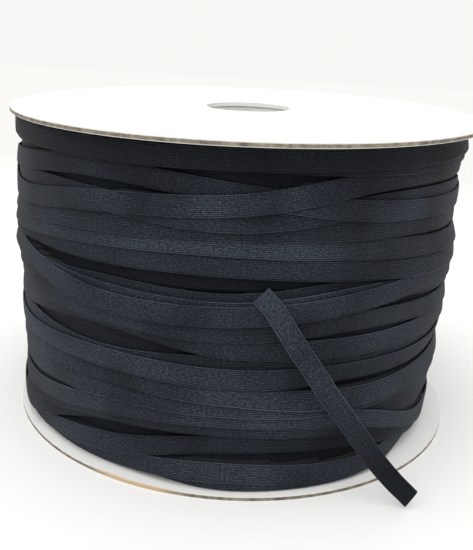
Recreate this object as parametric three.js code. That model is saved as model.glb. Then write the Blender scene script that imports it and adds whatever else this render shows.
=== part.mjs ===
// A reel of narrow braided elastic: two white-lined board flanges on a spindle tube, the tape wound
// between them in turns that cross and overlap, and its loose end hanging down the front.
// Millimetres. The base stands on z = 0, +Z runs up the spindle and -Y is the front.

import * as THREE from "three";
import { mergeVertices } from "three/addons/utils/BufferGeometryUtils.js";

// Sizes of the boards and the tube.
const FLANGE_RADIUS = 84;
const BOARD = 1.5;
const BOARD_EDGE_ROUND = 0.25;
const BORE_RADIUS = 15.5;
const TUBE_RADIUS = 17.5;
const REEL_HEIGHT = 111.7;
const SEAM = 0.3;
const FLANGE_SEGMENTS = 96;

// The top board leans: it rises this much for each millimetre to the right and to the back.
const TOP_RISE_X = 0.014;
const TOP_RISE_Y = 0.045;
// Each board sits this far off the spindle line, the top one to the front, the base to the back.
const BOARD_SHIFT = 0.95;

// Sizes of the tape and of the body that its turns make.
const TAPE_WIDTH = 6.3;
const TAPE_THICKNESS = 0.9;
const BODY_SHIFT_X = -2.2;
const WOUND_FLOOR = BOARD + SEAM;
const TOP_CLEARANCE = 0.8;
const INNER_TURNS = 18;
const INNER_LAYERS_DEPTH = 3.4;

// Outer radius of the winding at each height.
const BODY_OUTLINE = [
  { z: 0, radius: 77.0 },
  { z: 10, radius: 78.2 },
  { z: 20, radius: 79.0 },
  { z: 30, radius: 79.5 },
  { z: 50, radius: 80.3 },
  { z: 72, radius: 80.5 },
  { z: 90, radius: 80.0 },
  { z: 112, radius: 81.0 },
];

// A slack hollow runs round the front, where the pile is lower.
const HOLLOW = { z: 66.5, halfHeight: 5, azimuth: 2, halfSpan: 52, depth: 2.2 };
// The lowest turns have slid outwards over the base on the front right.
const FOOT_BULGE = { z: 2, halfHeight: 5, azimuth: 17, halfSpan: 16, depth: 2.6 };

// The last turns as they were wound, from the base up: the height of the tape's middle at each
// azimuth, where 0 is the front and 90 the right.
const TURN_AZIMUTHS = [-120, -60, -30, 0, 30, 60, 120];
const TURNS = [
  { backLeft: 5.0, left: 5.2, midLeft: 5.0, front: 4.6, midRight: 4.6, right: 5.4, backRight: 5.6 },
  { backLeft: 8.6, left: 5.2, midLeft: 5.2, front: 7.7, midRight: 6.0, right: 6.4, backRight: 9.4 },
  { backLeft: 12.4, left: 5.4, midLeft: 9.6, front: 16.0, midRight: 14.6, right: 9.0, backRight: 13.2 },
  { backLeft: 16.8, left: 8.2, midLeft: 20.0, front: 24.6, midRight: 19.0, right: 15.4, backRight: 17.6 },
  { backLeft: 21.4, left: 14.0, midLeft: 20.8, front: 22.4, midRight: 21.2, right: 20.6, backRight: 22.8 },
  { backLeft: 25.2, left: 22.4, midLeft: 26.6, front: 28.6, midRight: 27.0, right: 25.2, backRight: 27.0 },
  { backLeft: 29.6, left: 17.4, midLeft: 23.6, front: 26.6, midRight: 23.2, right: 10.4, backRight: 26.4 },
  { backLeft: 33.8, left: 26.4, midLeft: 29.6, front: 30.4, midRight: 29.2, right: 28.6, backRight: 33.6 },
  { backLeft: 38.0, left: 32.6, midLeft: 34.6, front: 34.1, midRight: 31.0, right: 31.8, backRight: 38.2 },
  { backLeft: 42.6, left: 42.6, midLeft: 40.4, front: 42.8, midRight: 43.8, right: 44.8, backRight: 43.0 },
  { backLeft: 45.4, left: 38.0, midLeft: 39.8, front: 38.9, midRight: 39.2, right: 38.8, backRight: 45.8 },
  { backLeft: 49.6, left: 49.0, midLeft: 52.8, front: 48.2, midRight: 47.6, right: 48.2, backRight: 50.4 },
  { backLeft: 54.6, left: 55.6, midLeft: 54.4, front: 53.2, midRight: 55.4, right: 54.0, backRight: 54.2 },
  { backLeft: 58.2, left: 60.2, midLeft: 62.4, front: 61.4, midRight: 65.2, right: 61.0, backRight: 58.8 },
  { backLeft: 62.6, left: 63.4, midLeft: 60.6, front: 59.4, midRight: 63.4, right: 63.6, backRight: 63.0 },
  { backLeft: 66.4, left: 65.6, midLeft: 58.9, front: 58.4, midRight: 62.2, right: 67.0, backRight: 67.4 },
  { backLeft: 71.0, left: 71.8, midLeft: 72.0, front: 72.4, midRight: 70.8, right: 69.6, backRight: 71.6 },
  { backLeft: 75.4, left: 74.6, midLeft: 77.4, front: 78.6, midRight: 77.2, right: 75.4, backRight: 76.2 },
  { backLeft: 80.0, left: 79.2, midLeft: 81.6, front: 83.2, midRight: 83.4, right: 82.4, backRight: 81.0 },
  { backLeft: 85.2, left: 89.4, midLeft: 88.0, front: 85.6, midRight: 90.2, right: 91.4, backRight: 86.4 },
  { backLeft: 90.8, left: 94.2, midLeft: 97.0, front: 93.2, midRight: 88.8, right: 87.6, backRight: 92.0 },
  { backLeft: 96.2, left: 83.6, midLeft: 87.6, front: 90.2, midRight: 97.0, right: 98.6, backRight: 98.4 },
  { backLeft: 102.0, left: 102.6, midLeft: 103.2, front: 102.6, midRight: 101.8, right: 102.8, backRight: 104.6 },
  { backLeft: 107.4, left: 106.4, midLeft: 104.0, front: 103.4, midRight: 104.6, right: 107.4, backRight: 110.2 },
];

// Fineness of the winding's height map and of the solid made from it.
const MAP_COLUMNS = 180;
const MAP_ROW = 0.5;
const BODY_SEGMENTS = 90;
const BODY_ROWS = 40;

// The loose end leaves the hollow, crosses the front and reaches the floor past the base.
// faceUp tilts its face from upright towards the sky.
const LOOSE_END = [
  { x: 6.5, y: -80.35, z: 65.3, faceUp: 0.42 },
  { x: 10.5, y: -81.65, z: 61.5, faceUp: 0.42 },
  { x: 14.5, y: -82.85, z: 56.0, faceUp: 0.4 },
  { x: 18.0, y: -83.5, z: 51.0, faceUp: 0.37 },
  { x: 21.0, y: -83.9, z: 47.0, faceUp: 0.34 },
  { x: 25.0, y: -84.1, z: 41.5, faceUp: 0.3 },
  { x: 28.5, y: -84.2, z: 36.5, faceUp: 0.26 },
  { x: 32.5, y: -84.1, z: 31.5, faceUp: 0.2 },
  { x: 37.0, y: -83.9, z: 25.5, faceUp: 0.14 },
  { x: 41.5, y: -83.5, z: 19.5, faceUp: 0.08 },
  { x: 45.5, y: -83.1, z: 14.5, faceUp: 0.04 },
  { x: 50.0, y: -82.6, z: 9.5, faceUp: 0.0 },
  { x: 53.5, y: -82.1, z: 6.0, faceUp: 0.0 },
  { x: 56.0, y: -81.8, z: 3.5, faceUp: 0.0 },
];
const LOOSE_END_STEPS = 44;
const TAPE_CORNER = 0.3;

const boardMaterial = new THREE.MeshStandardMaterial({ color: 0xf4f4f1, roughness: 0.75, metalness: 0 });
const tubeMaterial = new THREE.MeshStandardMaterial({ color: 0xe9e9e6, roughness: 0.8, metalness: 0 });
const tapeMaterial = new THREE.MeshStandardMaterial({ color: 0x23272d, roughness: 0.85, metalness: 0 });

const reel = new THREE.Group();

function addPiece(name, geometry, material) {
  geometry.deleteAttribute("normal");
  geometry.deleteAttribute("uv");
  const closed = mergeVertices(geometry, 1e-4);
  closed.computeVertexNormals();
  const mesh = new THREE.Mesh(closed, material);
  mesh.name = name;
  reel.add(mesh);
  return mesh;
}

// Underside of the leaning top board over a point.
function topBoardUnderside(x, y) {
  return REEL_HEIGHT - BOARD + TOP_RISE_X * x + TOP_RISE_Y * (y + BOARD_SHIFT);
}

function wrapDegrees(angle) {
  return ((((angle + 180) % 360) + 360) % 360) - 180;
}

// A smooth bump of the given depth over a patch of the winding.
function patch({ z, halfHeight, azimuth, halfSpan, depth }, atAzimuth, atZ) {
  const across = (atZ - z) / halfHeight;
  const along = wrapDegrees(atAzimuth - azimuth) / halfSpan;
  return depth * Math.exp(-across * across) * Math.exp(-Math.pow(along, 4));
}

function outlineRadius(z) {
  const upper = BODY_OUTLINE.findIndex((row) => row.z >= z);
  if (upper <= 0) {
    return BODY_OUTLINE[0].radius;
  }
  const above = BODY_OUTLINE[upper];
  const below = BODY_OUTLINE[upper - 1];
  return THREE.MathUtils.mapLinear(z, below.z, above.z, below.radius, above.radius);
}

// Top of the winding at an azimuth, just under the leaning board.
function woundTop(azimuth, radius) {
  const angle = THREE.MathUtils.degToRad(azimuth);
  const x = BODY_SHIFT_X + radius * Math.sin(angle);
  return topBoardUnderside(x, -radius * Math.cos(angle)) - TOP_CLEARANCE;
}

// The table's heights as one run of knots, since the tape is one length.
const knots = [];
TURNS.forEach((turn, index) => {
  Object.values(turn).forEach((z, column) => {
    knots.push({ angle: 360 * index + TURN_AZIMUTHS[column], z });
  });
});

function slopeAt(index) {
  const before = knots[Math.max(index - 1, 0)];
  const after = knots[Math.min(index + 1, knots.length - 1)];
  return (after.z - before.z) / (after.angle - before.angle);
}

// Height of the tape's middle after turning through an angle since the first knot's turn.
function tapeHeight(angle) {
  const next = Math.max(1, knots.findIndex((knot) => knot.angle >= angle));
  const from = knots[next - 1];
  const to = knots[next];
  const span = to.angle - from.angle;
  const t = THREE.MathUtils.clamp((angle - from.angle) / span, 0, 1);
  const t2 = t * t;
  const t3 = t2 * t;
  return (
    (2 * t3 - 3 * t2 + 1) * from.z +
    (t3 - 2 * t2 + t) * span * slopeAt(next - 1) +
    (3 * t2 - 2 * t3) * to.z +
    (t3 - t2) * span * slopeAt(next)
  );
}

// The winding's surface as radii on a grid of azimuths and heights, raised turn by turn.
const mapRows = Math.ceil((REEL_HEIGHT + 4) / MAP_ROW);
const columnStep = 360 / MAP_COLUMNS;
const woundMap = Array.from({ length: MAP_COLUMNS }, (_, column) => {
  const azimuth = wrapDegrees(column * columnStep);
  return Array.from({ length: mapRows }, (_, row) => {
    const z = row * MAP_ROW;
    const base = outlineRadius(z) - INNER_LAYERS_DEPTH;
    return base - patch(HOLLOW, azimuth, z) + patch(FOOT_BULGE, azimuth, z);
  });
});

function highest(column, from, to) {
  const first = THREE.MathUtils.clamp(Math.round(from / MAP_ROW), 0, mapRows - 1);
  const last = THREE.MathUtils.clamp(Math.round(to / MAP_ROW), first, mapRows - 1);
  return Math.max(...woundMap[column].slice(first, last + 1));
}

// Spreads each value to its neighbours' highest, then averages, as taut tape bridges a dip.
function bridge(values, reach) {
  const count = values.length;
  const around = (list, index) => {
    const near = [];
    for (let offset = -reach; offset <= reach; offset += 1) {
      near.push(list[(index + offset + count) % count]);
    }
    return near;
  };
  const spread = values.map((_, index) => Math.max(...around(values, index)));
  return spread.map((_, index) => around(spread, index).reduce((sum, v) => sum + v, 0) / (2 * reach + 1));
}

// Lays one turn, whose middle has the given height in each column, on what lies below it.
function layTurn(heights) {
  const half = TAPE_WIDTH / 2;
  const low = bridge(heights.map((z, column) => highest(column, z - half, z - half / 3)), 2);
  const high = bridge(heights.map((z, column) => highest(column, z + half / 3, z + half)), 2);
  heights.forEach((z, column) => {
    const lean = (high[column] - low[column]) / TAPE_WIDTH;
    const middle = Math.max((high[column] + low[column]) / 2, highest(column, z - half / 3, z + half / 3));
    for (let row = Math.ceil((z - half) / MAP_ROW); row <= (z + half) / MAP_ROW; row += 1) {
      const outside = middle + lean * (row * MAP_ROW - z) + TAPE_THICKNESS;
      woundMap[column][row] = Math.max(woundMap[column][row], outside);
    }
  });
}

// Keeps a turn between the base and the leaning board.
function keepInside(z, azimuth) {
  const half = TAPE_WIDTH / 2;
  return THREE.MathUtils.clamp(z, WOUND_FLOOR + half, woundTop(azimuth, FLANGE_RADIUS) - half);
}

const columnAzimuths = woundMap.map((_, column) => wrapDegrees(column * columnStep));
for (let turn = 0; turn < INNER_TURNS; turn += 1) {
  const share = (turn + 0.5) / INNER_TURNS;
  layTurn(columnAzimuths.map((azimuth) => {
    const top = woundTop(azimuth, FLANGE_RADIUS);
    return keepInside(THREE.MathUtils.lerp(WOUND_FLOOR, top, share), azimuth);
  }));
}
TURNS.forEach((_, index) => {
  layTurn(columnAzimuths.map((azimuth) => keepInside(tapeHeight(360 * index + azimuth), azimuth)));
});

function woundRadius(azimuth, z) {
  const column = Math.round(((azimuth + 360) % 360) / columnStep) % MAP_COLUMNS;
  const place = THREE.MathUtils.clamp(z / MAP_ROW, 0, mapRows - 2);
  const row = Math.floor(place);
  return THREE.MathUtils.lerp(woundMap[column][row], woundMap[column][row + 1], place - row);
}

// A board flange: a disc with the spindle hole, its cut edges barely rounded.
function flangeGeometry() {
  const round = BOARD_EDGE_ROUND;
  const profile = [
    new THREE.Vector2(BORE_RADIUS, 0),
    new THREE.Vector2(FLANGE_RADIUS - round, 0),
    new THREE.Vector2(FLANGE_RADIUS, round),
    new THREE.Vector2(FLANGE_RADIUS, BOARD - round),
    new THREE.Vector2(FLANGE_RADIUS - round, BOARD),
    new THREE.Vector2(BORE_RADIUS, BOARD),
    new THREE.Vector2(BORE_RADIUS, 0),
  ];
  return new THREE.LatheGeometry(profile, FLANGE_SEGMENTS).rotateX(Math.PI / 2);
}

const bottomFlange = addPiece("bottom_flange", flangeGeometry(), boardMaterial);
bottomFlange.position.set(0, BOARD_SHIFT, 0);

const topFlange = addPiece("top_flange", flangeGeometry(), boardMaterial);
topFlange.rotation.set(Math.atan(TOP_RISE_Y), -Math.atan(TOP_RISE_X), 0);
topFlange.position.set(0, -BOARD_SHIFT, REEL_HEIGHT - BOARD);

// The spindle tube stands between the boards, its top cut to the leaning one.
function tubeGeometry() {
  const cutLine = REEL_HEIGHT / 2;
  const profile = [
    new THREE.Vector2(BORE_RADIUS, WOUND_FLOOR),
    new THREE.Vector2(TUBE_RADIUS, WOUND_FLOOR),
    new THREE.Vector2(TUBE_RADIUS, REEL_HEIGHT),
    new THREE.Vector2(BORE_RADIUS, REEL_HEIGHT),
    new THREE.Vector2(BORE_RADIUS, WOUND_FLOOR),
  ];
  const geometry = new THREE.LatheGeometry(profile, FLANGE_SEGMENTS / 2).rotateX(Math.PI / 2);
  const corners = geometry.attributes.position;
  for (let i = 0; i < corners.count; i += 1) {
    if (corners.getZ(i) > cutLine) {
      corners.setZ(i, topBoardUnderside(corners.getX(i), corners.getY(i)) - SEAM);
    }
  }
  return geometry;
}

addPiece("core_tube", tubeGeometry(), tubeMaterial);

// The wound body: a lathed ring whose outside is moved out to the tape's surface.
function woundGeometry() {
  const inner = TUBE_RADIUS + SEAM;
  const profile = [new THREE.Vector2(inner, 0)];
  for (let row = 0; row <= BODY_ROWS; row += 1) {
    profile.push(new THREE.Vector2(FLANGE_RADIUS, row / BODY_ROWS));
  }
  profile.push(new THREE.Vector2(inner, 1));
  profile.push(new THREE.Vector2(inner, 0));
  const geometry = new THREE.LatheGeometry(profile, BODY_SEGMENTS).rotateX(Math.PI / 2);
  const points = geometry.attributes.position;
  for (let i = 0; i < points.count; i += 1) {
    const x = points.getX(i);
    const y = points.getY(i);
    const share = points.getZ(i);
    if (Math.hypot(x, y) < FLANGE_RADIUS / 2) {
      const top = topBoardUnderside(x, y) - TOP_CLEARANCE;
      points.setZ(i, THREE.MathUtils.lerp(WOUND_FLOOR, top, share));
    } else {
      const azimuth = THREE.MathUtils.radToDeg(Math.atan2(x, -y));
      const angle = THREE.MathUtils.degToRad(azimuth);
      const z = THREE.MathUtils.lerp(WOUND_FLOOR, woundTop(azimuth, FLANGE_RADIUS), share);
      const radius = woundRadius(azimuth, z);
      points.setXYZ(i, BODY_SHIFT_X + radius * Math.sin(angle), -radius * Math.cos(angle), z);
    }
  }
  return geometry;
}

addPiece("wound_elastic", woundGeometry(), tapeMaterial);

// The loose end: the tape's flat section drawn out straight, then laid along its route.
function looseEndGeometry() {
  const halfWidth = TAPE_WIDTH / 2;
  const halfThick = TAPE_THICKNESS / 2;
  const section = new THREE.Shape([
    new THREE.Vector2(-halfWidth, -halfThick + TAPE_CORNER),
    new THREE.Vector2(-halfWidth + TAPE_CORNER, -halfThick),
    new THREE.Vector2(halfWidth - TAPE_CORNER, -halfThick),
    new THREE.Vector2(halfWidth, -halfThick + TAPE_CORNER),
    new THREE.Vector2(halfWidth, halfThick - TAPE_CORNER),
    new THREE.Vector2(halfWidth - TAPE_CORNER, halfThick),
    new THREE.Vector2(-halfWidth + TAPE_CORNER, halfThick),
    new THREE.Vector2(-halfWidth, halfThick - TAPE_CORNER),
  ]);
  const geometry = new THREE.ExtrudeGeometry(section, {
    depth: 1,
    steps: LOOSE_END_STEPS,
    bevelEnabled: false,
  });
  const route = new THREE.CatmullRomCurve3(
    LOOSE_END.map(({ x, y, z }) => new THREE.Vector3(x, y, z)),
    false,
    "centripetal",
  );
  const points = geometry.attributes.position;
  for (let i = 0; i < points.count; i += 1) {
    const share = THREE.MathUtils.clamp(points.getZ(i), 0, 1);
    const centre = route.getPointAt(share);
    const forward = route.getTangentAt(share);
    const rowAt = route.getUtoTmapping(share) * (LOOSE_END.length - 1);
    const row = Math.min(Math.floor(rowAt), LOOSE_END.length - 2);
    const faceUp = THREE.MathUtils.lerp(LOOSE_END[row].faceUp, LOOSE_END[row + 1].faceUp, rowAt - row);
    const face = new THREE.Vector3(0, -1, faceUp).projectOnPlane(forward).normalize();
    const across = new THREE.Vector3().crossVectors(face, forward);
    centre.addScaledVector(across, points.getX(i)).addScaledVector(face, points.getY(i));
    points.setXYZ(i, centre.x, centre.y, centre.z);
  }
  return geometry;
}

addPiece("loose_end", looseEndGeometry(), tapeMaterial);

export default reel;
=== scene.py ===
import math
from collections import namedtuple

import bpy
import numpy as np
from mathutils import Matrix, Vector


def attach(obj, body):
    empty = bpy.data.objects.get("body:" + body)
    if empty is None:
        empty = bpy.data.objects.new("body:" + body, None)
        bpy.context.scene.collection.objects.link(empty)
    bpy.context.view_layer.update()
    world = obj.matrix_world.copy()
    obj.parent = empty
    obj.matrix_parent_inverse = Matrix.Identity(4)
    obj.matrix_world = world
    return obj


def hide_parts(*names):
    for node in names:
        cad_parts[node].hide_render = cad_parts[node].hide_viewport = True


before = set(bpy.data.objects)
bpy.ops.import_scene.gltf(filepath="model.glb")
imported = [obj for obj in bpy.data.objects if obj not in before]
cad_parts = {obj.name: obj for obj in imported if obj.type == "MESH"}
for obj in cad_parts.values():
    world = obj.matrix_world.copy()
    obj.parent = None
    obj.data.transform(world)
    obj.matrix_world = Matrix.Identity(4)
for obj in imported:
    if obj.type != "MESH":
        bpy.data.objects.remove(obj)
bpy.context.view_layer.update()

# Camera.
# The reel is seen from a little above and close by, with the picture turned a few degrees,
# so the right side sits lower. The lens is worked out for a picture 473 wide and 550 high.
MM = 0.001
PICTURE_HEIGHT_PX = 550
FOCAL_LENGTH_PX = 697.4
SENSOR_MM = 36.0
CAMERA_PLACE = (0.0, -265.25 * MM, 127.1 * MM)
CAMERA_PITCH_DOWN = math.radians(16.93)
CAMERA_YAW_RIGHT = math.radians(-0.19)
CAMERA_ROLL = math.radians(3.21)

camera_data = bpy.data.cameras.new("camera")
camera_data.sensor_fit = "AUTO"
camera_data.sensor_width = SENSOR_MM
camera_data.lens = FOCAL_LENGTH_PX / PICTURE_HEIGHT_PX * SENSOR_MM
camera_data.clip_start = 0.01
camera_data.clip_end = 50
camera = bpy.data.objects.new("camera", camera_data)
bpy.context.collection.objects.link(camera)
camera.matrix_world = (
    Matrix.Translation(CAMERA_PLACE)
    @ Matrix.Rotation(-CAMERA_YAW_RIGHT, 4, "Z")
    @ Matrix.Rotation(math.pi / 2 - CAMERA_PITCH_DOWN, 4, "X")
    @ Matrix.Rotation(CAMERA_ROLL, 4, "Z")
)
bpy.context.scene.camera = camera
bpy.context.scene.view_settings.view_transform = "Standard"

# Loose end.
# The last stretch of the braided elastic: a flat limp tape with fine lengthwise ribs, cut a little
# aslant. It comes out of the hollow in the winding and hangs across the front to the floor.
ROOT = "root"
TAPE_WIDTH = 6.3 * MM
TAPE_THICKNESS = 0.75 * MM
TAPE_SECTION_POINTS = 14
FACE_FLATNESS = 0.4
TAPE_RIBS = 12
STITCH_LENGTH = 0.55 * MM
STITCH_LEAN = 1.6
STITCH_RELIEF = 0.4
RIB_SHARPNESS = 1.6
SPECK_SCALE = 0.8
SPECK_LENGTH = 0.8
SPECK_DEPTH = 0.85
# Painted highlight on the tape's edges, and painted shade in the crease inside them.
EDGE_HIGHLIGHT_SHARE = 0.45
CREASE_SHADE_DEPTH = 0.6
CLOUD_SCALE = 45.0
CLOUD_DEPTH = 0.6
PLAIN_SHADE = 0.1
TAPE_COLOUR = (0.0035, 0.0042, 0.0062, 1)
TAPE_FLECK_COLOUR = (0.085, 0.104, 0.138, 1)
TAPE_ROUGHNESS = 0.6
TAPE_GLOSS = 0.1

# x, y and z of the tape's middle, and how far its face tilts up towards the sky.
RoutePoint = namedtuple("RoutePoint", "x y z face_up")
LOOSE_END_ROUTE = [
    RoutePoint(6.5, -80.35, 65.3, 0.42),
    RoutePoint(10.5, -81.65, 61.5, 0.42),
    RoutePoint(14.5, -82.85, 56.0, 0.40),
    RoutePoint(18.0, -83.5, 51.0, 0.37),
    RoutePoint(21.0, -83.9, 47.0, 0.34),
    RoutePoint(25.0, -84.1, 41.5, 0.30),
    RoutePoint(28.5, -84.2, 36.5, 0.26),
    RoutePoint(32.5, -84.1, 31.5, 0.20),
    RoutePoint(37.0, -83.9, 25.5, 0.14),
    RoutePoint(41.5, -83.5, 19.5, 0.08),
    RoutePoint(45.5, -83.1, 14.5, 0.04),
    RoutePoint(50.0, -82.6, 9.5, 0.0),
    RoutePoint(53.5, -82.1, 6.0, 0.0),
    RoutePoint(56.0, -81.8, 3.5, 0.0),
]
LOOSE_END_STEPS_BETWEEN = 6
CUT_SLANT = -0.9 * MM
CUT_REACH = TAPE_WIDTH * 0.6
LOOSE_RIB_DEPTH = 0.25 * MM
LOOSE_FLECKS = 2.5

# Painted light on the loose end by height: paler high up, darker near the floor.
LOOSE_LIGHT_HEIGHTS = (0, 12, 30, 48, 66)
LOOSE_LIGHT_BY_HEIGHT = (0.15, 0.15, 0.5, 1.05, 1.1)


def add_node(tree, kind, inputs=None, **settings):
    node = tree.nodes.new(kind)
    for name, value in settings.items():
        setattr(node, name, value)
    for name, value in (inputs or {}).items():
        if isinstance(value, bpy.types.NodeSocket):
            tree.links.new(value, node.inputs[name])
        else:
            node.inputs[name].default_value = value
    return node


def add_math(tree, operation, first, second=0.5, third=0.5):
    node = add_node(tree, "ShaderNodeMath", operation=operation)
    for socket, value in zip(node.inputs, (first, second, third)):
        if isinstance(value, bpy.types.NodeSocket):
            tree.links.new(value, socket)
        else:
            socket.default_value = value
    return node.outputs[0]


def remap(tree, value, low, high):
    """0 where the value is at low and 1 where it is at high, clamped."""
    inputs = {"Value": value, "From Min": low, "From Max": high}
    return add_node(tree, "ShaderNodeMapRange", inputs).outputs[0]


def noise(tree, place, scale, detail, roughness=0.5):
    inputs = {"Vector": place, "Scale": scale, "Detail": detail, "Roughness": roughness}
    return add_node(tree, "ShaderNodeTexNoise", inputs).outputs[0]


def mix_colours(tree, share, first, second):
    node = add_node(tree, "ShaderNodeMix", data_type="RGBA")
    tree.links.new(share, node.inputs["Factor"])
    for socket, colour in zip(node.inputs[6:8], (first, second)):
        if isinstance(colour, bpy.types.NodeSocket):
            tree.links.new(colour, socket)
        else:
            socket.default_value = colour
    return node.outputs[2]


def new_material(name):
    """A new material with its node tree and its Principled shader."""
    material = bpy.data.materials.new(name)
    material.use_nodes = True
    return material, material.node_tree, material.node_tree.nodes["Principled BSDF"]


def braid_group():
    """Rib and stitch relief of a braided tape, and its flecks with painted highlights and shade, from its
    place across and along the tape.
    """
    group = bpy.data.node_groups.new("braid", "ShaderNodeTree")
    face = group.interface
    for name in ("Across", "Along", "Ribs", "Stitch length"):
        face.new_socket(name, in_out="INPUT", socket_type="NodeSocketFloat")
    for name in ("Height", "Flecks and painted light"):
        face.new_socket(name, in_out="OUTPUT", socket_type="NodeSocketFloat")
    start = add_node(group, "NodeGroupInput")
    end = add_node(group, "NodeGroupOutput")
    across, along, ribs, stitch = (start.outputs[i] for i in range(4))
    from_side = add_math(group, "MULTIPLY_ADD", across, 0.5, 0.5)
    rib_place = add_math(group, "MULTIPLY", from_side, ribs)
    rib_number = add_math(group, "FLOOR", rib_place)
    in_rib = add_math(group, "SUBTRACT", rib_place, rib_number)
    rib_round = add_math(group, "SINE", add_math(group, "MULTIPLY", in_rib, math.pi))

    # Stitches lean one way in even ribs and the other way in odd ones.
    side = add_math(group, "SUBTRACT", add_math(group, "MODULO", rib_number, 2.0), 0.5)
    lean = add_math(group, "MULTIPLY", add_math(group, "SUBTRACT", in_rib, 0.5), side)
    stitch_place = add_math(group, "DIVIDE", along, stitch)
    stitch_turn = add_math(group, "ADD", stitch_place, add_math(group, "MULTIPLY", lean, STITCH_LEAN))
    wave = add_math(group, "SINE", add_math(group, "MULTIPLY", stitch_turn, 2 * math.pi))
    stitch_round = add_math(group, "MULTIPLY_ADD", wave, 0.5, 0.5)
    relief = add_math(group, "MULTIPLY_ADD", stitch_round, STITCH_RELIEF, 1 - STITCH_RELIEF)
    height = add_math(group, "MULTIPLY", rib_round, relief)

    # Painted highlight on each rib's crest, broken into uneven flecks along the rib.
    place = add_node(group, "ShaderNodeCombineXYZ")
    group.links.new(rib_place, place.inputs[0])
    group.links.new(add_math(group, "MULTIPLY", stitch_place, SPECK_LENGTH), place.inputs[1])
    speck = remap(group, noise(group, place.outputs[0], SPECK_SCALE, 2.0, 0.8), 0.42, 0.66)
    speck_share = add_math(group, "MULTIPLY_ADD", speck, SPECK_DEPTH, 1 - SPECK_DEPTH)
    rib_crest_highlight = add_math(group, "POWER", height, RIB_SHARPNESS)
    specked_highlight = add_math(group, "MULTIPLY", rib_crest_highlight, speck_share)

    # Painted highlight along both woven borders, with a line of painted shade in the crease inside them.
    from_middle = add_math(group, "ABSOLUTE", across)
    edge_highlight = remap(group, from_middle, 0.88, 0.95)
    crease_shade = add_math(group, "SUBTRACT", remap(group, from_middle, 0.78, 0.86), edge_highlight)
    crease_shade_share = add_math(group, "MULTIPLY_ADD", crease_shade, -CREASE_SHADE_DEPTH, 1.0)
    inside = add_math(group, "MULTIPLY", specked_highlight, crease_shade_share)
    fleck_and_painted_light = add_math(group, "MULTIPLY_ADD", edge_highlight, EDGE_HIGHLIGHT_SHARE, inside)
    group.links.new(height, end.inputs[0])
    group.links.new(fleck_and_painted_light, end.inputs[1])
    return group


BRAID = braid_group()


def tape_material(name, fleck_share, rib_depth):
    """Dark braided elastic: matt, ribbed along its length, with painted highlights on rib crests and edges
    and painted shade in the creases.

    A paleness attribute on the tape sets each place's paleness, from 0 to about 1, with painted shade and
    painted sheen in it.
    """
    material, tree, shader = new_material(name)
    braid = add_node(tree, "ShaderNodeGroup", node_tree=BRAID)
    for socket, attribute in (("Across", "across"), ("Along", "along")):
        value = add_node(tree, "ShaderNodeAttribute", attribute_name=attribute).outputs["Fac"]
        tree.links.new(value, braid.inputs[socket])
    braid.inputs["Ribs"].default_value = TAPE_RIBS
    braid.inputs["Stitch length"].default_value = STITCH_LENGTH
    place = add_node(tree, "ShaderNodeTexCoord").outputs["Object"]
    cloud = remap(tree, noise(tree, place, CLOUD_SCALE, 2.0), 0.3, 0.7)
    cloud_share = add_math(tree, "MULTIPLY_ADD", cloud, CLOUD_DEPTH, 1 - CLOUD_DEPTH)
    # Paleness from a per-point attribute, which carries painted light and shade.
    wear_and_painted_light = add_node(tree, "ShaderNodeAttribute", attribute_name="wear_and_painted_light").outputs["Fac"]
    paleness_and_painted_light = add_math(tree, "MULTIPLY", cloud_share, wear_and_painted_light)
    amount = add_math(tree, "MULTIPLY_ADD", braid.outputs["Flecks and painted light"], fleck_share, PLAIN_SHADE)
    shade = add_math(tree, "MULTIPLY", amount, paleness_and_painted_light)
    colour = mix_colours(tree, shade, TAPE_COLOUR, TAPE_FLECK_COLOUR)
    tree.links.new(colour, shader.inputs["Base Color"])
    relief = {"Height": braid.outputs["Height"], "Strength": 1.0, "Distance": rib_depth}
    tree.links.new(add_node(tree, "ShaderNodeBump", relief).outputs[0], shader.inputs["Normal"])
    shader.inputs["Roughness"].default_value = TAPE_ROUGHNESS
    shader.inputs["Specular IOR Level"].default_value = TAPE_GLOSS
    return material


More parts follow.
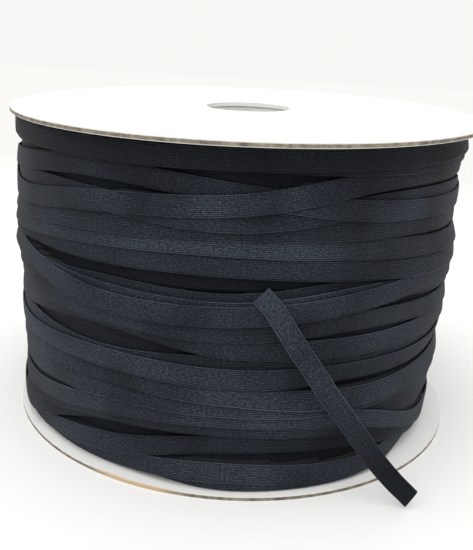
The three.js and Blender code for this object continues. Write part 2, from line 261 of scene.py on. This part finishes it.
def tape_sweep_tree():
    """Draws the tape's flat rounded section along a path, its width along the path's width_way."""
    tree = bpy.data.node_groups.new("tape sweep", "GeometryNodeTree")
    face = tree.interface
    face.new_socket("Path", in_out="INPUT", socket_type="NodeSocketGeometry")
    face.new_socket("Width", in_out="INPUT", socket_type="NodeSocketFloat")
    face.new_socket("Thickness", in_out="INPUT", socket_type="NodeSocketFloat")
    face.new_socket("Section points", in_out="INPUT", socket_type="NodeSocketInt")
    face.new_socket("Finish", in_out="INPUT", socket_type="NodeSocketMaterial")
    face.new_socket("Tape", in_out="OUTPUT", socket_type="NodeSocketGeometry")
    start = add_node(tree, "NodeGroupInput")
    end = add_node(tree, "NodeGroupOutput")
    path, width, thickness, points, finish = (start.outputs[i] for i in range(5))

    curve = add_node(tree, "GeometryNodeMeshToCurve", {"Mesh": path}).outputs[0]
    length = add_node(tree, "GeometryNodeSplineParameter").outputs["Length"]
    along = add_node(tree, "GeometryNodeStoreNamedAttribute", data_type="FLOAT", domain="POINT")
    tree.links.new(curve, along.inputs["Geometry"])
    along.inputs["Name"].default_value = "along"
    tree.links.new(length, along.inputs["Value"])
    way = add_node(tree, "GeometryNodeInputNamedAttribute", data_type="FLOAT_VECTOR")
    way.inputs["Name"].default_value = "width_way"
    turned = add_node(tree, "GeometryNodeSetCurveNormal", mode="FREE")
    tree.links.new(along.outputs[0], turned.inputs["Curve"])
    tree.links.new(way.outputs[0], turned.inputs["Normal"])

    ring_size = {"Radius": 1.0, "Resolution": points}
    ring = add_node(tree, "GeometryNodeCurvePrimitiveCircle", ring_size, mode="RADIUS")
    place = add_node(tree, "ShaderNodeSeparateXYZ")
    tree.links.new(add_node(tree, "GeometryNodeInputPosition").outputs[0], place.inputs[0])
    unit_x, unit_y = place.outputs[0], place.outputs[1]
    flat_y = add_math(tree, "POWER", add_math(tree, "ABSOLUTE", unit_y), FACE_FLATNESS)
    signed_y = add_math(tree, "MULTIPLY", add_math(tree, "SIGN", unit_y), flat_y)
    corner = add_node(tree, "ShaderNodeCombineXYZ")
    for socket, share, size in zip(corner.inputs, (unit_x, signed_y), (width, thickness)):
        tree.links.new(add_math(tree, "MULTIPLY", share, add_math(tree, "MULTIPLY", size, 0.5)), socket)
    across = add_node(tree, "GeometryNodeStoreNamedAttribute", data_type="FLOAT", domain="POINT")
    tree.links.new(ring.outputs[0], across.inputs["Geometry"])
    across.inputs["Name"].default_value = "across"
    tree.links.new(unit_x, across.inputs["Value"])
    section = add_node(tree, "GeometryNodeSetPosition")
    tree.links.new(across.outputs[0], section.inputs["Geometry"])
    tree.links.new(corner.outputs[0], section.inputs["Position"])

    swept = add_node(tree, "GeometryNodeCurveToMesh")
    tree.links.new(turned.outputs[0], swept.inputs["Curve"])
    tree.links.new(section.outputs[0], swept.inputs["Profile Curve"])
    swept.inputs["Fill Caps"].default_value = True
    smooth = add_node(tree, "GeometryNodeSetShadeSmooth")
    tree.links.new(swept.outputs[0], smooth.inputs["Geometry"])
    real = add_node(tree, "GeometryNodeRealizeInstances")
    tree.links.new(smooth.outputs[0], real.inputs[0])
    dressed = add_node(tree, "GeometryNodeSetMaterial")
    tree.links.new(real.outputs[0], dressed.inputs["Geometry"])
    tree.links.new(finish, dressed.inputs["Material"])
    tree.links.new(dressed.outputs[0], end.inputs[0])
    return tree


TAPE_SWEEP = tape_sweep_tree()


def sweep_tape(name, points, width_ways, wear_and_painted_light, material):
    """A length of tape along the given points, as a plain mesh."""
    line = bpy.data.meshes.new(name)
    line.from_pydata([tuple(p) for p in points], [(i, i + 1) for i in range(len(points) - 1)], [])
    way = line.attributes.new("width_way", "FLOAT_VECTOR", "POINT")
    way.data.foreach_set("vector", np.asarray(width_ways, dtype=np.float32).ravel())
    pale = line.attributes.new("wear_and_painted_light", "FLOAT", "POINT")
    pale.data.foreach_set("value", np.asarray(wear_and_painted_light, dtype=np.float32))
    piece = bpy.data.objects.new(name, line)
    bpy.context.collection.objects.link(piece)
    sweep = piece.modifiers.new("tape sweep", "NODES")
    sweep.node_group = TAPE_SWEEP
    values = {
        "Width": TAPE_WIDTH,
        "Thickness": TAPE_THICKNESS,
        "Section points": TAPE_SECTION_POINTS,
        "Finish": material,
    }
    for item in TAPE_SWEEP.interface.items_tree:
        if item.in_out == "INPUT" and item.name in values:
            sweep[item.identifier] = values[item.name]
    evaluated = piece.evaluated_get(bpy.context.evaluated_depsgraph_get())
    mesh = bpy.data.meshes.new_from_object(evaluated)
    piece.modifiers.clear()
    piece.data = mesh
    return piece


def unit(vectors):
    return vectors / np.linalg.norm(vectors, axis=-1, keepdims=True)


def smooth_through(rows, steps):
    """Points on a smooth curve through the rows, with the given number of steps between two rows."""
    rows = np.asarray(rows, dtype=float)
    padded = np.vstack([2 * rows[0] - rows[1], rows, 2 * rows[-1] - rows[-2]])
    out = []
    for a, b, c, d in zip(padded, padded[1:], padded[2:], padded[3:]):
        for step in range(steps):
            t = step / steps
            bend = 2 * a - 5 * b + 4 * c - d + t * (3 * (b - c) + d - a)
            out.append(b + 0.5 * t * (c - a + t * bend))
    out.append(rows[-1])
    return np.array(out)


loose_rows = smooth_through(LOOSE_END_ROUTE, LOOSE_END_STEPS_BETWEEN)
loose_path = loose_rows[:, :3] * MM
loose_forward = unit(np.gradient(loose_path, axis=0))
loose_face = np.stack([0 * loose_rows[:, 3], -np.ones(len(loose_rows)), loose_rows[:, 3]], axis=1)
loose_across = unit(np.cross(loose_face, loose_forward))
loose_material = tape_material("loose elastic", LOOSE_FLECKS, LOOSE_RIB_DEPTH)
# Painted light: the loose end gets paler with height.
loose_painted_light = np.interp(loose_rows[:, 2], LOOSE_LIGHT_HEIGHTS, LOOSE_LIGHT_BY_HEIGHT)
loose_end = sweep_tape("loose_tape", loose_path, loose_across, loose_painted_light, loose_material)
for vertex, place in zip(loose_end.data.vertices, loose_end.data.attributes["across"].data):
    if (vertex.co - Vector(loose_path[-1])).length < CUT_REACH:
        vertex.co += Vector(loose_forward[-1]) * CUT_SLANT * place.value
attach(loose_end, ROOT)
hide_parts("loose_end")

# Winding.
# The same tape wound in crossing turns, each laid on what lies below it. The last turns show in full,
# the ones under them where a gap opens. Only the tape's own pull holds them. Sizes are in mm here.
REEL_TOP = 111.7
BOARD = 1.5
FLANGE_RADIUS = 84.0
TOP_RISE_X = 0.014
TOP_RISE_Y = 0.045
BOARD_SHIFT = 0.95
WOUND_FLOOR = 1.8
TOP_CLEARANCE = 0.8
BODY_SHIFT_X = -2.2
INNER_TURNS = 18
INNER_LAYERS_DEPTH = 2.9

# Radius of the whole winding by height.
OUTLINE_HEIGHTS = (0, 10, 20, 30, 50, 72, 90, 112)
OUTLINE_RADII = (77.0, 78.2, 79.0, 79.5, 80.3, 80.5, 80.0, 81.0)

# Places where the pile is slack, bulges over the base or draws in.
Patch = namedtuple("Patch", "z half_height azimuth half_span depth")
HOLLOW = Patch(66.5, 5, 2, 52, -2.2)
FOOT_BULGE = Patch(1, 5, 16, 20, 5.5)
FOOT_DIP = Patch(0, 13, 62, 24, -2.6)
PATCHES = (HOLLOW, FOOT_BULGE, FOOT_DIP)

# Height of the tape's middle at each azimuth, from the base up; 0 is the front and 90 the right.
TURN_AZIMUTHS = (-120, -60, -30, 0, 30, 60, 120)
Turn = namedtuple("Turn", "back_left left mid_left front mid_right right back_right")
TURNS = [
    Turn(5.0, 5.2, 5.0, 4.6, 4.6, 5.4, 5.6),
    Turn(8.6, 5.2, 5.2, 7.7, 6.0, 6.4, 9.4),
    Turn(12.4, 5.4, 9.6, 16.0, 14.6, 9.0, 13.2),
    Turn(16.8, 8.2, 20.0, 24.6, 19.0, 15.4, 17.6),
    Turn(21.4, 14.0, 20.8, 22.4, 21.2, 20.6, 22.8),
    Turn(25.2, 22.4, 26.6, 28.6, 27.0, 25.2, 27.0),
    Turn(29.6, 17.4, 23.6, 26.6, 23.2, 10.4, 16.4),
    Turn(33.8, 26.4, 29.6, 30.4, 29.2, 28.6, 33.6),
    Turn(38.0, 32.6, 34.6, 34.1, 31.0, 31.8, 38.2),
    Turn(42.6, 42.6, 40.4, 42.8, 43.8, 44.8, 43.0),
    Turn(45.4, 38.0, 39.8, 38.9, 39.2, 38.8, 45.8),
    Turn(49.6, 49.0, 52.8, 48.2, 47.6, 48.2, 50.4),
    Turn(54.6, 55.6, 54.4, 53.2, 55.4, 54.0, 54.2),
    Turn(58.2, 60.2, 62.4, 61.4, 65.2, 61.0, 58.8),
    Turn(62.6, 63.4, 60.6, 59.4, 63.4, 63.6, 63.0),
    Turn(66.4, 65.6, 58.9, 58.4, 62.2, 67.0, 67.4),
    Turn(71.0, 71.8, 72.0, 72.4, 70.8, 69.6, 71.6),
    Turn(75.4, 74.6, 77.4, 78.6, 77.2, 75.4, 76.2),
    Turn(80.0, 79.2, 81.6, 83.2, 83.4, 82.4, 81.0),
    Turn(85.2, 89.4, 88.0, 85.6, 90.2, 91.4, 86.4),
    Turn(90.8, 94.2, 97.0, 93.2, 88.8, 87.6, 92.0),
    Turn(96.2, 83.6, 87.6, 90.2, 97.0, 98.6, 98.4),
    Turn(102.0, 102.6, 103.2, 102.6, 101.8, 102.8, 104.6),
    Turn(107.4, 106.4, 104.0, 103.4, 104.6, 107.4, 110.2),
]

UPPER_HALF_FROM_TURN = 12
MAP_COLUMNS = 180
MAP_ROW = 0.25
BRIDGE_REACH = 2

# Paleness of the turns, with patches of painted sheen where they are paler.
BASE_PALENESS = 0.92
PAINTED_SHEEN_PATCHES = (
    Patch(78.5, 2.6, -6, 32, 0.9),
    Patch(90, 3.5, 5, 14, 0.5),
    Patch(51, 4, -22, 22, 0.3),
    Patch(28, 20, -5, 70, 0.4),
)
# Painted shade on the wound turns: reach of the pile's mean, and how fast sunken turns and turns under the
# top board darken.
HULL_REACH = 40
HULL_MEAN = np.ones(2 * HULL_REACH + 1) / (2 * HULL_REACH + 1)
SUNK_SHADE_DEPTH = 2.6
BOARD_SHADE = 11.0
WOUND_RIB_DEPTH = 0.2 * MM
WOUND_FLECKS = 1.35
HALF_TAPE = TAPE_WIDTH / MM / 2
THICK = TAPE_THICKNESS / MM

azimuths = -180 + 360 / MAP_COLUMNS * np.arange(MAP_COLUMNS)
map_heights = np.arange(0, REEL_TOP + 4, MAP_ROW)


def patch_depth(patch):
    """A smooth bump or dip over a patch of the winding, on the whole map."""
    across = (map_heights - patch.z) / patch.half_height
    along = ((azimuths - patch.azimuth + 180) % 360 - 180) / patch.half_span
    return patch.depth * np.exp(-(along**4))[:, None] * np.exp(-(across**2))[None, :]


def wound_top(azimuth, radius=FLANGE_RADIUS):
    """Top of the winding under the leaning board."""
    x = BODY_SHIFT_X + radius * np.sin(np.radians(azimuth))
    y = -radius * np.cos(np.radians(azimuth))
    return REEL_TOP - BOARD + TOP_RISE_X * x + TOP_RISE_Y * (y + BOARD_SHIFT) - TOP_CLEARANCE


def keep_inside(heights):
    return np.clip(heights, WOUND_FLOOR + HALF_TAPE, wound_top(azimuths) - HALF_TAPE)


def run_heights(knot_angles, knot_heights, angles):
    """Heights along the whole tape, smooth through the knots."""
    slopes = np.gradient(knot_heights, knot_angles)
    place = np.clip(np.searchsorted(knot_angles, angles) - 1, 0, len(knot_angles) - 2)
    span = knot_angles[place + 1] - knot_angles[place]
    t = np.clip((angles - knot_angles[place]) / span, 0, 1)
    return (
        (2 * t**3 - 3 * t**2 + 1) * knot_heights[place]
        + (t**3 - 2 * t**2 + t) * span * slopes[place]
        + (3 * t**2 - 2 * t**3) * knot_heights[place + 1]
        + (t**3 - t**2) * span * slopes[place + 1]
    )


def highest(wound_map, low, high):
    """Highest radius in each column between two heights."""
    above = map_heights >= low[:, None] - MAP_ROW / 2
    below = map_heights <= high[:, None] + MAP_ROW / 2
    return np.where(above & below, wound_map, 0).max(axis=1)


def bridged(values):
    """Each value raised to its neighbours' highest and averaged, as taut tape bridges a dip."""
    shifts = range(-BRIDGE_REACH, BRIDGE_REACH + 1)
    spread = np.max([np.roll(values, s) for s in shifts], axis=0)
    return np.mean([np.roll(spread, s) for s in shifts], axis=0)


def lay_turn(wound_map, heights):
    """Lays one turn on the map and gives its middle radius and lean in each column."""
    third = HALF_TAPE / 3
    low = bridged(highest(wound_map, heights - HALF_TAPE, heights - third))
    high = bridged(highest(wound_map, heights + third, heights + HALF_TAPE))
    lean = (high - low) / (2 * HALF_TAPE)
    mid = bridged(highest(wound_map, heights - third, heights + third))
    middle = np.maximum((high + low) / 2, mid)
    across = map_heights[None, :] - heights[:, None]
    outside = middle[:, None] + lean[:, None] * across + THICK
    covered = np.abs(across) <= HALF_TAPE
    wound_map[covered] = np.maximum(wound_map[covered], outside[covered])
    return middle + THICK / 2, lean


def paleness_with_painted_light_of(radii, heights):
    """Paleness along the turns: painted sheen patches, with painted shade that darkens sunken turns and
    those under the top board.
    """
    padded = np.pad(wound_map, ((0, 0), (HULL_REACH, HULL_REACH)), mode="edge")
    hull = np.array([np.convolve(row, HULL_MEAN, "valid") for row in padded])
    paleness_and_painted_light = BASE_PALENESS + sum(patch_depth(patch) for patch in PAINTED_SHEEN_PATCHES)
    out = []
    for radius, height in zip(radii, heights):
        around = np.array([np.interp(z, map_heights, row) for z, row in zip(height, hull)])
        pale = np.array([np.interp(z, map_heights, row) for z, row in zip(height, paleness_and_painted_light)])
        # Painted shade: turns sunk below the pile around them, and turns just under the top board, are
        # darker.
        sunk_shade = np.clip((around - radius) / SUNK_SHADE_DEPTH, 0, 1)
        clear_of_board_shade = np.clip((wound_top(azimuths) - height) / BOARD_SHADE, 0, 1)
        out.append(pale * (1 - sunk_shade) * clear_of_board_shade)
    return np.concatenate(out)


def tape_points(radii, leans, heights):
    """Points and width directions of laid turns, in metres."""
    turn = np.radians(np.tile(azimuths, len(radii)))
    radius = np.concatenate(radii)
    lean = np.concatenate(leans)
    z = np.concatenate(heights)
    out = np.stack([np.sin(turn), -np.cos(turn), 0 * turn], axis=1)
    points = out * radius[:, None]
    points[:, 0] += BODY_SHIFT_X
    points[:, 2] = z
    ways = unit(out * lean[:, None] + np.array([0, 0, 1]))
    return points * MM, ways


def smooth_along(turns, reach=2):
    """Softens the joins between turns, along the whole tape."""
    flat = np.concatenate(turns)
    padded = np.pad(flat, reach, mode="edge")
    soft = np.mean([padded[i : i + len(flat)] for i in range(2 * reach + 1)], axis=0)
    return np.split(soft, len(turns))


wound_map = np.tile(np.interp(map_heights, OUTLINE_HEIGHTS, OUTLINE_RADII), (MAP_COLUMNS, 1))
wound_map += sum(patch_depth(patch) for patch in PATCHES) - INNER_LAYERS_DEPTH

inner = []
for number in range(INNER_TURNS):
    share = (number + 0.5 + azimuths / 360) / INNER_TURNS
    height = keep_inside(WOUND_FLOOR + share * (wound_top(azimuths) - WOUND_FLOOR))
    inner.append((*lay_turn(wound_map, height), height))

turn_numbers = range(len(TURNS))
knot_angles = np.array([360.0 * i + a for i in turn_numbers for a in TURN_AZIMUTHS])
knot_heights = np.array([z for turn in TURNS for z in turn])
outer = []
for number in turn_numbers:
    height = keep_inside(run_heights(knot_angles, knot_heights, 360 * number + azimuths))
    outer.append((*lay_turn(wound_map, height), height))

# Both ends of a wound length are tucked under the pile.
TUCK_POINTS = 12
TUCK_DEPTH = 3.0
tuck = TUCK_DEPTH * (1 - np.arange(TUCK_POINTS) / TUCK_POINTS) ** 2
wound_material = tape_material("wound elastic", WOUND_FLECKS, WOUND_RIB_DEPTH)


def wound_length(turns):
    """Points, width directions and paleness, with painted light and shade, along one wound length."""
    radii, leans, heights = (list(column) for column in zip(*turns))
    radii = smooth_along(radii)
    radii[0][:TUCK_POINTS] -= tuck
    radii[-1][-TUCK_POINTS:] -= tuck[::-1]
    points, ways = tape_points(radii, smooth_along(leans), heights)
    return points, ways, paleness_with_painted_light_of(radii, heights)


def wound_piece(name, points, ways, wear_and_painted_light):
    """Sweeps one wound piece and gives it its place in the part."""
    piece = sweep_tape(name, points, ways, wear_and_painted_light, wound_material)
    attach(piece, ROOT)
    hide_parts("wound_elastic")


half_way = UPPER_HALF_FROM_TURN * MAP_COLUMNS
outer_length = wound_length(outer)
wound_piece("inner_turns", *wound_length(inner))
wound_piece("lower_turns", *(part[: half_way + 1] for part in outer_length))
wound_piece("upper_turns", *(part[half_way:] for part in outer_length))

# Packed core of the winding.
# The hidden layers under the last turns: the same tape pressed into a solid pile, which closes
# every gap between turns. It follows the turns from inside and stops just short of both boards.
DRUM_DEPTH = THICK + 0.6
DRUM_INNER_RADIUS = 17.8
DRUM_ROWS = 110
# The pile's finish is the tape's dark colour without flecks: painted shade where it shows in the gaps
# between turns.
DRUM_SHADE_COLOUR = (0.008, 0.009, 0.012, 1)
DRUM_GRAIN_SCALE = 900.0


def drum_mesh():
    """A closed ring whose outside follows the finished map."""
    shares = np.linspace(0, 1, DRUM_ROWS)
    tops = wound_top(azimuths)
    vertices = []
    for azimuth, top, radii in zip(azimuths, tops, wound_map):
        turn = math.radians(azimuth)
        heights = WOUND_FLOOR + shares * (top - WOUND_FLOOR)
        for z, radius in zip(heights, np.interp(heights, map_heights, radii) - DRUM_DEPTH):
            x = BODY_SHIFT_X + radius * math.sin(turn)
            vertices.append((x, -radius * math.cos(turn), z))
        for z in (wound_top(azimuth, DRUM_INNER_RADIUS), WOUND_FLOOR):
            x = DRUM_INNER_RADIUS * math.sin(turn)
            vertices.append((x, -DRUM_INNER_RADIUS * math.cos(turn), z))
    ring = DRUM_ROWS + 2
    faces = []
    for column in range(MAP_COLUMNS):
        here = column * ring
        there = (column + 1) % MAP_COLUMNS * ring
        for row in range(ring):
            up = (row + 1) % ring
            faces.append((here + row, there + row, there + up, here + up))
    mesh = bpy.data.meshes.new("packed_drum")
    mesh.from_pydata([tuple(c * MM for c in v) for v in vertices], [], faces)
    return mesh


drum = bpy.data.objects.new("packed_drum", drum_mesh())
bpy.context.collection.objects.link(drum)
drum_material, drum_tree, drum_shader = new_material("packed elastic in painted shade")
drum_place = add_node(drum_tree, "ShaderNodeTexCoord").outputs["Object"]
drum_grain = noise(drum_tree, drum_place, DRUM_GRAIN_SCALE, 2.0)
# Painted shade: plain dark finish for the pile.
drum_shade_colour = mix_colours(drum_tree, drum_grain, DRUM_SHADE_COLOUR, TAPE_COLOUR)
drum_tree.links.new(drum_shade_colour, drum_shader.inputs["Base Color"])
drum_shader.inputs["Roughness"].default_value = 0.9
drum.data.materials.append(drum_material)
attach(drum, ROOT)
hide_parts("wound_elastic")

# Boards.
# Two discs of greyboard lined white on both faces and die-cut, so the raw grey-brown core shows
# at the rim. They are glued to the ends of the tube. The bottom rim is rubbed tan at the front left.
LINER_COLOUR = (0.9, 0.9, 0.89, 1)
LINER_SHADE_COLOUR = (0.86, 0.86, 0.845, 1)
LINER_CLOUD_SCALE = 22.0
WORN_COLOUR = (0.6, 0.45, 0.29, 1)
WORN_PLACE = (-29 * MM, -77 * MM, 0)
WORN_LENGTH = 17 * MM
WORN_SHARE = 0.85
WORN_FROM_RADIUS = (FLANGE_RADIUS - 1.2) * MM
CORE_LIGHT_COLOUR = (0.34, 0.29, 0.225, 1)
CORE_DARK_COLOUR = (0.12, 0.1, 0.08, 1)
FIBRE_SCALE = 420.0
FIBRE_RELIEF = 0.1 * MM
BOARD_ROUGHNESS = 0.7
BOARD_GLOSS = 0.15


def board_material():
    """White liner on the faces and in the hole, raw mottled core at the outer rim."""
    material, tree, shader = new_material("white-lined greyboard")
    place = add_node(tree, "ShaderNodeTexCoord").outputs["Object"]
    normal = add_node(tree, "ShaderNodeSeparateXYZ")
    tree.links.new(add_node(tree, "ShaderNodeNewGeometry").outputs["Normal"], normal.inputs[0])
    side = remap(tree, add_math(tree, "ABSOLUTE", normal.outputs[2]), 0.9, 0.3)
    flat_place = add_node(tree, "ShaderNodeVectorMath", operation="MULTIPLY")
    tree.links.new(place, flat_place.inputs[0])
    flat_place.inputs[1].default_value = (1, 1, 0)
    from_middle = add_node(tree, "ShaderNodeVectorMath", operation="LENGTH")
    tree.links.new(flat_place.outputs[0], from_middle.inputs[0])
    radius = from_middle.outputs["Value"]
    edge = add_math(tree, "MULTIPLY", side, add_math(tree, "GREATER_THAN", radius, FLANGE_RADIUS * MM / 2))

    fibre = noise(tree, place, FIBRE_SCALE, 5.0, 0.7)
    core = mix_colours(tree, remap(tree, fibre, 0.35, 0.65), CORE_DARK_COLOUR, CORE_LIGHT_COLOUR)
    cloud = noise(tree, place, LINER_CLOUD_SCALE, 3.0)
    liner = mix_colours(tree, cloud, LINER_SHADE_COLOUR, LINER_COLOUR)
    board = mix_colours(tree, edge, liner, core)

    from_worn = add_node(tree, "ShaderNodeVectorMath", operation="DISTANCE")
    tree.links.new(place, from_worn.inputs[0])
    from_worn.inputs[1].default_value = WORN_PLACE
    near_worn = remap(tree, from_worn.outputs["Value"], WORN_LENGTH, WORN_LENGTH / 2)
    at_rim = add_math(tree, "GREATER_THAN", radius, WORN_FROM_RADIUS)
    wear_and_painted_light = add_math(tree, "MULTIPLY", add_math(tree, "MULTIPLY", near_worn, at_rim), WORN_SHARE)
    tree.links.new(mix_colours(tree, wear_and_painted_light, board, WORN_COLOUR), shader.inputs["Base Color"])
    relief = {"Height": fibre, "Strength": 0.25, "Distance": FIBRE_RELIEF}
    tree.links.new(add_node(tree, "ShaderNodeBump", relief).outputs[0], shader.inputs["Normal"])
    shader.inputs["Roughness"].default_value = BOARD_ROUGHNESS
    shader.inputs["Specular IOR Level"].default_value = BOARD_GLOSS
    return material


BOARD_FINISH = board_material()
for node in ("bottom_flange", "top_flange"):
    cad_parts[node].data.materials.clear()
    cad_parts[node].data.materials.append(BOARD_FINISH)

# Tube.
# The spindle tube is board wound in a spiral and lined white. It stands between the boards, and
# only its bore shows, through the hole.
TUBE_COLOUR = (0.9, 0.9, 0.88, 1)
TUBE_GRAIN_SCALE = 300.0

tube_finish, tube_tree, tube_shader = new_material("wound board tube")
tube_place = add_node(tube_tree, "ShaderNodeTexCoord").outputs["Object"]
tube_grain = noise(tube_tree, tube_place, TUBE_GRAIN_SCALE, 4.0)
tube_colour = mix_colours(tube_tree, tube_grain, TUBE_COLOUR, LINER_COLOUR)
tube_tree.links.new(tube_colour, tube_shader.inputs["Base Color"])
tube_shader.inputs["Roughness"].default_value = 0.75
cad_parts["core_tube"].data.materials.clear()
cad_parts["core_tube"].data.materials.append(tube_finish)

# Floor and light.
# A white table that runs out to a white backdrop, with painted shade that makes it greyer away from the
# reel. A wide soft light stands high in front, to the left, and the room is bright overhead and dimmer
# behind the viewer.
FLOOR_SIZE = 12.0
FLOOR_COLOUR = (0.92, 0.92, 0.915, 1)
# Painted shade: the table turns greyer away from the reel, so the far table is no brighter than the
# backdrop.
FLOOR_FAR_SHADE_COLOUR = (0.735, 0.735, 0.727, 1)
NEAR_REACH = 0.12
FAR_REACH = 0.7
BACKDROP_COLOUR = (0.93, 0.925, 0.905, 1)
ROOM_COLOUR = (0.36, 0.365, 0.37, 1)
LIGHT_FROM = (-0.3, -0.75, 1.35)
LIGHT_ANGLE = math.radians(75)
LIGHT_POWER = 1.65

half = FLOOR_SIZE / 2
corners = [(-half, -half, 0), (half, -half, 0), (half, half, 0), (-half, half, 0)]
floor_mesh = bpy.data.meshes.new("floor")
floor_mesh.from_pydata(corners, [], [(0, 1, 2, 3)])
floor = bpy.data.objects.new("floor", floor_mesh)
bpy.context.collection.objects.link(floor)
floor_finish, floor_tree, floor_shader = new_material("pale table")
floor_reach = add_node(floor_tree, "ShaderNodeVectorMath", operation="LENGTH")
floor_place = add_node(floor_tree, "ShaderNodeTexCoord").outputs["Object"]
floor_tree.links.new(floor_place, floor_reach.inputs[0])
floor_far_shade = remap(floor_tree, floor_reach.outputs["Value"], NEAR_REACH, FAR_REACH)
floor_colour = mix_colours(floor_tree, floor_far_shade, FLOOR_COLOUR, FLOOR_FAR_SHADE_COLOUR)
floor_tree.links.new(floor_colour, floor_shader.inputs["Base Color"])
floor_shader.inputs["Roughness"].default_value = 0.8
floor_shader.inputs["Specular IOR Level"].default_value = 0.0
floor_mesh.materials.append(floor_finish)

world = bpy.data.worlds.new("studio")
bpy.context.scene.world = world
world.use_nodes = True
sky = world.node_tree
way_out = add_node(sky, "ShaderNodeSeparateXYZ")
sky.links.new(add_node(sky, "ShaderNodeTexCoord").outputs["Generated"], way_out.inputs[0])
bright = add_math(sky, "ADD", way_out.outputs[1], way_out.outputs[2])
bright_share = remap(sky, bright, -0.6, 0.6)
far_table = remap(sky, way_out.outputs[2], 0.3, 0.14)
sky_share = add_math(sky, "MAXIMUM", bright_share, far_table)
sky_colour = mix_colours(sky, sky_share, ROOM_COLOUR, BACKDROP_COLOUR)
sky.links.new(sky_colour, sky.nodes["Background"].inputs["Color"])
sky.nodes["Background"].inputs["Strength"].default_value = 1.0

key_data = bpy.data.lights.new("soft key", "SUN")
key_data.angle = LIGHT_ANGLE
key_data.energy = LIGHT_POWER
key = bpy.data.objects.new("soft key", key_data)
bpy.context.collection.objects.link(key)
key.rotation_euler = Vector(LIGHT_FROM).to_track_quat("Z", "Y").to_euler()
